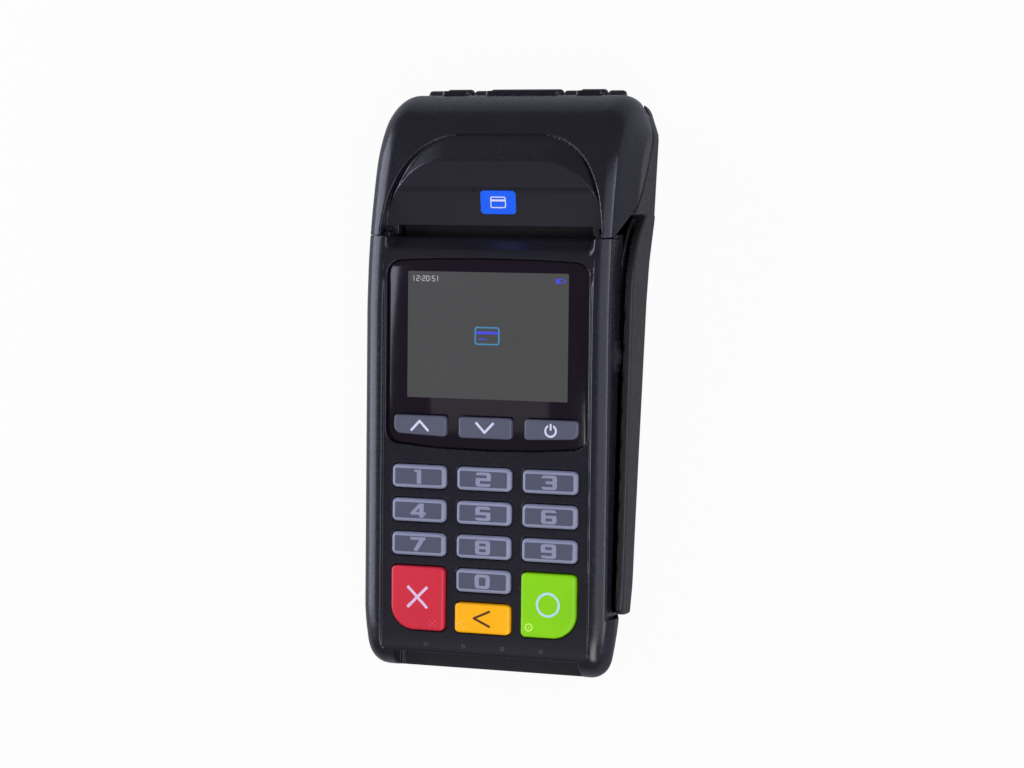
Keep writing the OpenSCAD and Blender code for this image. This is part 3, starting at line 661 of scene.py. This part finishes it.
def back_field(u, v, w):
    side = SIDE(v, w)
    au = np.abs(u)
    b = body_field(u, v, w, side)
    y, z = row_yz(v, w)
    d = np.maximum(b, -(b + WALL))
    d = carve(d, np.maximum(-(w - SPLIT_W + 0.2), v - LID_V), 0.3)
    d = carve(d, LID(v, w) - 0.2, 0.3)
    d = np.minimum(d, rail_field(u, v, w))
    d = carve(d, slot_field(u, v, w, SLOT_IN, SLOT_OUT), 0.25)
    box = rect(u, y + 46, 28.7, 29.7, 1.5)
    walls = np.maximum(np.maximum(box, -(box + 1.4)), slab(z, 1.4, 60))
    roof = np.maximum(box, slab(w, -14.6, -13.6))
    d = np.minimum(d, np.maximum(np.minimum(walls, roof), w + 13.6))
    d = carve(d, np.maximum(rect(u, y + 46, 27.25, 28.25, 0.8), z - 5), 0.3)
    for s in (-1, 1):
        d = carve(d, np.maximum(np.hypot(u - s * 22, y + 79) - 3.3, z - 2.8), 0.2)
        d = carve(d, np.maximum(np.hypot(u - s * 24, y - 73) - 4.1, z - 2.8), 0.2)
        for k in (-84, -36):
            tower = np.hypot(u - s * 31, v - k)
            d = np.minimum(d, np.maximum(np.maximum(tower - 3.6, b), w + 13.3))
            d = carve(d, np.maximum(tower - 2.6, w + 20), 0.25)
    for i in range(-2, 3):
        for j in range(-2, 3):
            if i * i + j * j < 6:
                d = carve(d, np.maximum(np.hypot(u + 14 - i * 3, y - 4 - j * 3) - 0.8, z - 5), 0.2)
    cover = rect(y - PORT_Y, z - PORT_Z, 7.15, 3.65, 1.2)
    d = carve(d, np.maximum(cover, u + 37.35), 0.25)
    d = carve(d, np.maximum(rect(y - PORT_Y, z - PORT_Z, 4.1, 1.6, 0.6), u + 30), 0.2)
    ky, kz = y - HINGE_Y, z - HINGE_Z
    for a, c in ((-11.8, 11.8), (-25.5, -16.4), (16.4, 25.5)):
        d = carve(d, np.maximum(np.hypot(ky, kz) - 2.8, slab(u, a, c)), 0.2)
    tube = np.hypot(ky, kz) - 2.0
    root = np.maximum(slab(ky, -2, 0.4), slab(kz, -5, 0))
    ends = np.minimum(slab(au, 11.9, 16.3), slab(au, 25.6, 30.8))
    d = np.minimum(d, rmax(np.minimum(tube, root), ends, 0.8))
    return d


STEP = 0.45
front = field_mesh("front_case_shell", front_field, (-39.6, -100, -15), (39.6, 30.4, 2.0), STEP)
finish_piece(front, CASE, "housing", "case_plastic", "front_case")
lid = field_mesh("printer_lid_shell", lid_field, (-39.6, 27.5, -45.5), (41.6, 76.5, 0.0), STEP)
finish_piece(lid, CASE, "lid", "case_plastic", "printer_lid")
back = field_mesh("back_case_shell", back_field, (-39.6, -100, -55), (41.9, 82, -4), STEP * 1.25)
finish_piece(back, BACK, "housing", "back_plastic", "back_case")

# ---------------------------------------------------------------- display
lens = loft("display_window", LENS_POLY, LENS_RADII,
            [(0.25, -2.2), (0, -2.0), (0, -1.3), (0.08, -1.1), (0.25, -1.0)], 6)
finish_piece(lens, LENS, "housing", "lens_gloss", "display_lens")
screen = loft("screen_image", rect_poly(0, 0, 24.48, 18.36), [0.3] * 4, [(0, -1.1), (0, -0.96)])
finish_piece(screen, SCREEN, "housing", "lcd_glass")


# ---------------------------------------------------------------- marks
def digit_field(char, x, y, hx, hy, sx, sy):
    """A numeral in a box of half size hx, hy with upright strokes sx and level strokes sy wide."""
    r = min(hx, hy) * 0.45
    ring_c, ring_h = (hy - sy / 2) / 2, (hy + sy / 2) / 2

    def ring(cy, h):
        o = rect(x, y - cy, hx, h, r)
        i = rect(x, y - cy, hx - sx, h - sy, max(r - sy, 0.1) * 0.8)
        return np.maximum(o, -i)

    gap_top = slab(y, sy / 2, hy - sy)
    gap_low = slab(y, -hy + sy, -sy / 2)
    both = np.minimum(ring(ring_c, ring_h), ring(-ring_c, ring_h))
    left, right = x - (hx - sx), -x - (hx - sx)
    if char == "0":
        o = rect(x, y, hx, hy, r * 1.2)
        return np.maximum(o, -rect(x, y, hx - sx, hy - sy, r * 0.5))
    if char == "1":
        stem = rect(x - sx * 0.15, y, sx / 2, hy, 0.08)
        flag = bar(x, y, -sx * 0.95, hy - sy * 0.55, 0, hy - sy * 0.42, sy * 0.42)
        return np.minimum(stem, flag)
    if char == "2":
        return np.maximum(both, -np.minimum(np.maximum(left, gap_top), np.maximum(right, gap_low)))
    if char == "3":
        cut = np.minimum(np.maximum(left, gap_top), np.maximum(left, gap_low))
        cut = np.minimum(cut, np.maximum(slab(y, -sy / 2 - 0.05, sy / 2 + 0.05), x + hx * 0.45))
        return np.maximum(both, -cut)
    if char == "4":
        stem = rect(x - hx * 0.45, y, sx / 2, hy, 0.08)
        base = rect(x, y + hy * 0.42, hx, sy / 2, 0.08)
        side = bar(x, y, -hx + sx * 0.42, -hy * 0.42, hx * 0.3, hy - sy * 0.35, sy * 0.56)
        return np.maximum(np.minimum(np.minimum(stem, base), side), y - hy)
    if char == "5":
        return np.maximum(both, -np.minimum(np.maximum(right, gap_top), np.maximum(left, gap_low)))
    if char == "6":
        return np.maximum(both, -np.maximum(right, gap_top))
    if char == "7":
        top = rect(x, y - (hy - sy / 2), hx, sy / 2, 0.08)
        leg = bar(x, y, hx - sx * 0.55, hy - sy * 0.3, -hx * 0.35, -hy, sx * 0.46)
        return np.maximum(np.minimum(top, leg), slab(y, -hy, hy))
    if char == "9":
        return np.maximum(both, -np.maximum(left, gap_low))
    return both


def mark(name, shape, cu, cv, hx, hy, w0, w1, step, mat, body, slot_name, tilt=None):
    """A thin raised mark whose plan is the field shape(x, y) about (cu, cv)."""
    def field(x, y, z):
        return rmax(shape(x, y), np.abs(z) - (w1 - w0) / 2, 0.03)

    def place(p, nrm):
        q = p + np.array([cu, cv, (w0 + w1) / 2])
        if tilt is not None:
            q[:, 2] += tilt * p[:, 1]
        return q, nrm

    pad = 3 * step
    half = (w1 - w0) / 2
    ob = field_mesh(name, field, (-hx - pad, -hy - pad, -half * 2.2), (hx + pad, hy + pad, half * 2.2),
                    (step, step, half * 0.8), 2, place)
    return finish_piece(ob, mat, body, slot_name)


def joined(*fields):
    def shape(x, y):
        d = fields[0](x, y)
        for f in fields[1:]:
            d = np.minimum(d, f(x, y))
        return d
    return shape


def stroke(x0, y0, x1, y1, half):
    return lambda x, y: bar(x, y, x0, y0, x1, y1, half)


def circle_line(cx, cy, r, half):
    return lambda x, y: np.abs(np.hypot(x - cx, y - cy) - r) - half


def dot(cx, cy, r):
    return lambda x, y: np.hypot(x - cx, y - cy) - r


MARK_STEP = 0.11

# ---------------------------------------------------------------- number keys
KEY_TOP = 1.2
RIM = 1.0
for char in "1234567890":
    node = "key_" + char
    body = "button_" + char
    cu, cv = to_face(node_centre(node))[:2]
    poly = rect_poly(cu, cv, KEY_W / 2, KEY_H / 2)
    cap = loft(node + "_rim", poly, [1.5] * 4,
               [(-0.1, -2.6), (-0.05, -1.4), (0, 0.3), (0.1, 0.62), (0.34, 1.0), (0.6, 1.16),
                (0.8, KEY_TOP), (RIM, KEY_TOP), (RIM + 0.08, KEY_TOP - 0.14)])
    finish_piece(cap, LILAC, body, "key_slate", node)
    face = loft(node + "_face", poly, [1.5] * 4,
                [(RIM + 0.02, 0.2), (RIM + 0.02, KEY_TOP - 0.1), (RIM + 0.1, KEY_TOP - 0.04),
                 (RIM + 0.3, KEY_TOP - 0.03)])
    finish_piece(face, SLATE, body, "key_slate")

    def numeral(x, y, c=char):
        return digit_field(c, x, y, 2.35, 2.08, 1.35, 0.86)

    mark(node + "_numeral", numeral, cu, cv, 2.5, 2.2, KEY_TOP - 0.1, KEY_TOP + 0.04, MARK_STEP, LILAC,
         body, "key_slate")

cu, cv = to_face(node_centre("key_5"))[:2]
mark("key_5_ticks", joined(stroke(-4.6, 0, -3.6, 0, 0.16), stroke(3.6, 0, 4.6, 0, 0.16)), cu, cv, 4.8, 0.4,
     KEY_TOP - 0.08, KEY_TOP + 0.02, MARK_STEP, SLATE, "button_5", "key_slate")

# ---------------------------------------------------------------- navigation keys
NAV_V = to_face(node_centre("key_up"))[1]
NAV_TOP, NAV_BASE = NAV_V + 3.0, NAV_V - 3.1
NAV_KEYS = {
    "key_up": [(-28.1, NAV_BASE + 0.75), (-12.0, NAV_BASE + 0.1), (-12.0, NAV_TOP), (-28.1, NAV_TOP)],
    "key_down": [(-8.05, NAV_BASE), (8.05, NAV_BASE), (8.05, NAV_TOP), (-8.05, NAV_TOP)],
    "key_power": [(12.0, NAV_BASE + 0.1), (28.1, NAV_BASE + 0.75), (28.1, NAV_TOP), (12.0, NAV_TOP)],
}
NAV_RADII = {"key_up": [2.2, 1, 1, 1], "key_down": [1, 1, 1, 1], "key_power": [1, 2.2, 1, 1]}
NAV_MARK = {
    "key_up": joined(stroke(-2.75, -1.55, 0.18, 1.5, 0.36), stroke(2.75, -1.55, -0.18, 1.5, 0.36)),
    "key_down": joined(stroke(-2.75, 1.55, 0.18, -1.5, 0.36), stroke(2.75, 1.55, -0.18, -1.5, 0.36)),
    "key_power": joined(
        lambda x, y: carve(circle_line(0, -0.15, 1.6, 0.3)(x, y), rect(x, y - 1.6, 0.75, 1.2, 0.1), 0.05),
        stroke(0, 0.0, 0, 2.0, 0.3)),
}
for node, poly in NAV_KEYS.items():
    body = "button_" + node[4:]
    cap = loft(node + "_cap", poly, NAV_RADII[node],
               [(-0.1, -2.6), (0, -0.8), (0, 0.0), (0.08, 0.22), (0.26, 0.4), (0.5, 0.48), (0.8, 0.5)])
    finish_piece(cap, NAV, body, "nav_slate", node)
    cu, cv = to_face(node_centre(node))[:2]
    mark(node + "_symbol", NAV_MARK[node], cu, cv + 0.05, 3.2, 2.3, 0.44, 0.56, MARK_STEP, PALE,
         body, "nav_slate")

# ---------------------------------------------------------------- command keys
COMMAND_RINGS = [(-0.1, -2.6), (0, -1.0), (0, 0.75), (0.1, 1.08), (0.32, 1.34), (0.65, 1.47), (1.05, 1.5)]
COMMAND = {
    "key_cancel": (8.2, 9.3, [7.0, 1.4, 1.4, 1.4], RED, "key_red"),
    "key_clear": (8.4, 4.35, [1.3, 1.3, 1.3, 1.3], AMBER, "key_amber"),
    "key_enter": (8.2, 9.3, [1.4, 7.0, 1.4, 1.4], GREEN, "key_green"),
}
COMMAND_MARKS = {
    "key_cancel": [
        ("symbol", joined(stroke(-3.1, 3.1, 3.1, -3.1, 0.42), stroke(-3.1, -3.1, 3.1, 3.1, 0.42)),
         0.1, 0.4, 3.6, 3.6, PINK),
        ("touch", joined(dot(0, 0, 0.28), dot(-0.8, 0.7, 0.26), dot(0.8, 0.7, 0.26), dot(-0.8, -0.7, 0.26),
                         dot(0.8, -0.7, 0.26)), 4.9, -7.1, 1.3, 1.3, SOFT_RED)],
    "key_clear": [
        ("symbol", joined(stroke(-2.6, -0.1, 2.6, 2.3, 0.36), stroke(-2.6, 0.1, 2.6, -2.3, 0.36)),
         0, 0.1, 3.1, 2.8, BROWN),
        ("touch", joined(dot(-0.8, 0, 0.24), dot(0, 0.55, 0.24), dot(0, -0.55, 0.24), dot(0.8, 1.05, 0.24),
                         dot(0.8, -1.05, 0.24)), -6.2, -1.7, 1.3, 1.5, SOFT_AMBER)],
    "key_enter": [
        ("symbol", circle_line(0, 0, 3.25, 0.37), 0.1, 0.4, 3.8, 3.8, ICE),
        ("touch", joined(circle_line(0, 0, 1.0, 0.26), dot(0, 0, 0.3)), -5.6, -6.4, 1.5, 1.5, SOFT_GREEN)],
}
for node, (hx, hy, radii, mat, slot_name) in COMMAND.items():
    body = "button_" + node[4:]
    cu, cv = to_face(node_centre(node))[:2]
    cap = loft(node + "_cap", rect_poly(cu, cv, hx, hy), radii, COMMAND_RINGS, 10)
    finish_piece(cap, mat, body, slot_name, node)
    for label, shape, du, dv, ex, ey, mm in COMMAND_MARKS[node]:
        top = 1.62 if label == "touch" else 1.54
        mark(f"{node}_{label}", shape, cu + du, cv + dv, ex, ey, 1.42, top, MARK_STEP, mm, body, slot_name)

# ---------------------------------------------------------------- screen marks
SCREEN_W = -0.95
CLOCK_U, CLOCK_V = -23.3, 16.3
pen = CLOCK_U
for k, char in enumerate("12:20:51"):
    if char == ":":
        shape = joined(dot(0, 0.4, 0.12), dot(0, -0.4, 0.12))
        advance = 0.62
    else:
        def shape(x, y, c=char):
            return digit_field(c, x, y, 0.46, 0.8, 0.15, 0.15)
        advance = 1.22
    mark(f"screen_clock_{k}", shape, pen + advance / 2, CLOCK_V, 0.55, 0.9, SCREEN_W, SCREEN_W + 0.06,
         MARK_STEP * 0.6, SCREEN_WHITE, "housing", "lcd_glass")
    pen += advance
mark("screen_battery", joined(
    lambda x, y: carve(rect(x, y, 1.3, 0.65, 0.2), rect(x - 0.5, y, 0.6, 0.4, 0.1), 0.02),
    lambda x, y: rect(x - 1.5, y, 0.18, 0.3, 0.05)), 21.9, 16.2, 1.8, 0.8, SCREEN_W, SCREEN_W + 0.06,
    MARK_STEP * 0.6, SCREEN_BLUE, "housing", "lcd_glass")
mark("screen_card_body", lambda x, y: np.abs(rect(x, y, 3.6, 2.4, 0.6)) - 0.24, 0, 0, 4.0, 2.8, SCREEN_W,
     SCREEN_W + 0.06, MARK_STEP, SCREEN_TEAL, "housing", "lcd_glass")
mark("screen_card_stripe", joined(lambda x, y: rect(x, y - 0.9, 3.6, 0.42, 0.05),
                                  lambda x, y: rect(x + 1.4, y + 0.95, 1.2, 0.2, 0.05)),
     0, 0, 3.9, 1.8, SCREEN_W, SCREEN_W + 0.06, MARK_STEP, SCREEN_BLUE, "housing", "lcd_glass")

# ---------------------------------------------------------------- light pipes
for k, x in enumerate(PIPE_U):
    pipe = loft(f"light_pipe_{k + 1}", rect_poly(x, PIPE_V, 0.6, 0.6), [0.599] * 4,
                [(0, -5.9), (0, 0.0), (0.06, 0.05), (0.18, 0.05), (0.34, -0.12)], 5)
    finish_piece(pipe, PIPE, "housing", "pipe_clear", *(["light_pipes"] if k == 0 else []))

# ---------------------------------------------------------------- badge on the lid panel
BADGE_U, BADGE_V = 1.5, 38.5
badge_w = PANEL_W + PANEL_SLOPE * (BADGE_V - PANEL_V)
mark("lid_badge", lambda x, y: rect(x, y, 5.4, 3.4, 1.2), BADGE_U, BADGE_V, 5.5, 3.5,
     badge_w - 0.15, badge_w + 0.12, MARK_STEP * 2, BADGE, "lid", "case_plastic", PANEL_SLOPE)
mark("lid_badge_card", joined(lambda x, y: np.abs(rect(x, y, 2.2, 1.5, 0.4)) - 0.18,
                              lambda x, y: rect(x, y - 0.55, 2.2, 0.3, 0.05)), BADGE_U, BADGE_V, 2.5, 1.8,
     badge_w + 0.05, badge_w + 0.17, MARK_STEP, PALE, "lid", "case_plastic", PANEL_SLOPE)

# ---------------------------------------------------------------- shown CAD nodes
for node, ob in frame["nodes"].items():
    if ob.hide_render:
        continue
    ob.data.materials.clear()
    ob.data.materials.append(NODE_FINISH[node])
    for p in ob.data.polygons:
        p.use_smooth = True
    ob.data.set_sharp_from_angle(angle=math.radians(35))

# ---------------------------------------------------------------- stage, light and camera
centre = (cad_lo + cad_hi) / 2
size = (cad_hi - cad_lo).length
FACE = Matrix(((1, 0, 0), (0, CT, -ST), (0, ST, CT)))


def seen_white(tree, lit, share, output):
    """Adds white light to what the camera sees there, without lighting the object with it."""
    path = tree.nodes.new("ShaderNodeLightPath")
    scale = tree.nodes.new("ShaderNodeMath")
    scale.operation = "MULTIPLY"
    scale.inputs[1].default_value = share
    tree.links.new(path.outputs["Is Camera Ray"], scale.inputs[0])
    white = tree.nodes.new("ShaderNodeEmission")
    white.inputs["Strength"].default_value = 1.02
    mix = tree.nodes.new("ShaderNodeMixShader")
    tree.links.new(scale.outputs["Value"], mix.inputs["Fac"])
    tree.links.new(lit, mix.inputs[1])
    tree.links.new(white.outputs["Emission"], mix.inputs[2])
    tree.links.new(mix.outputs["Shader"], output.inputs["Surface"])


def stage_floor():
    n, half = 24, size * 12
    verts = [(centre.x + (i / n - 0.5) * 2 * half, centre.y + (j / n - 0.5) * 2 * half, 0.0)
             for i in range(n + 1) for j in range(n + 1)]
    faces = [(i * (n + 1) + j, (i + 1) * (n + 1) + j, (i + 1) * (n + 1) + j + 1, i * (n + 1) + j + 1)
             for i in range(n) for j in range(n)]
    me = bpy.data.meshes.new("floor")
    me.from_pydata(verts, [], faces)
    ob = bpy.data.objects.new("floor", me)
    bpy.context.scene.collection.objects.link(ob)
    m = material("floor_white", (0.4, 0.4, 0.4, 1), 0.9, grain=2.0, bump=0.0, vary=0.005)
    bsdf = m.node_tree.nodes["Principled BSDF"]
    bsdf.inputs["Specular IOR Level"].default_value = 0.0
    seen_white(m.node_tree, bsdf.outputs["BSDF"], 0.93, m.node_tree.nodes["Material Output"])
    me.materials.append(m)
    return ob


stage_floor()


def area_light(name, at, aim, w, h, power, colour=(1, 1, 1)):
    """An area light placed by face-frame millimetres."""
    data = bpy.data.lights.new(name, "AREA")
    data.shape = "RECTANGLE"
    data.size, data.size_y = w / 1000, h / 1000
    data.energy = power
    data.color = colour
    ob = bpy.data.objects.new(name, data)
    bpy.context.scene.collection.objects.link(ob)
    p, q = Vector(to_row([at])[0]), Vector(to_row([aim])[0])
    ob.location = p
    d = (q - p).normalized()
    up = FACE @ Vector((0, 1, 0))
    x = up.cross(-d).normalized()
    y = (-d).cross(x)
    ob.rotation_mode = "QUATERNION"
    ob.rotation_quaternion = Matrix((x, y, -d)).transposed().to_quaternion()
    ob.visible_camera = False
    return ob


COOL = (0.78, 0.82, 1.0)
area_light("strip_right", (591, 40, 225), (35, 0, 0), 130, 700, 2.0, COOL)
area_light("panel_right", (417, 60, 489), (35, 0, 0), 480, 700, 1.8, COOL)
area_light("panel_left", (-552, 120, 188), (-35, 0, 0), 480, 700, 5.4, COOL)
area_light("front_card", (-290, -370, 830), (0, 30, 0), 250, 250, 0.12, (1, 1, 1))
area_light("key_soft", (330, -560, 760), (0, -20, 0), 420, 420, 4.1, (1, 1, 1))

world = bpy.data.worlds.new("studio")
bpy.context.scene.world = world
world.use_nodes = True
wn = world.node_tree
background = wn.nodes["Background"]
background.inputs["Color"].default_value = (1, 1, 1, 1)
background.inputs["Strength"].default_value = 0.18
seen_white(wn, background.outputs["Background"], 1.0, wn.nodes["World Output"])

cam_data = bpy.data.cameras.new("camera")
cam = bpy.data.objects.new("camera", cam_data)
bpy.context.scene.collection.objects.link(cam)
cam_data.sensor_width = 36.0
cam_data.lens = 87.9
CAMERA_AT = (235.8, 35.7, 679.5)
ROLL, PITCH, YAW = math.radians(-0.63), math.radians(3.93), math.radians(-18.53)
to_camera = Matrix.Rotation(ROLL, 3, "Z") @ Matrix.Rotation(PITCH, 3, "X") @ Matrix.Rotation(YAW, 3, "Y")
cam.location = Vector(to_row([CAMERA_AT])[0])
cam.rotation_mode = "QUATERNION"
cam.rotation_quaternion = (FACE @ to_camera.transposed()).to_quaternion()
cam_data.clip_start, cam_data.clip_end = 0.01, 50
bpy.context.scene.camera = cam
bpy.context.scene.view_settings.view_transform = "Standard"
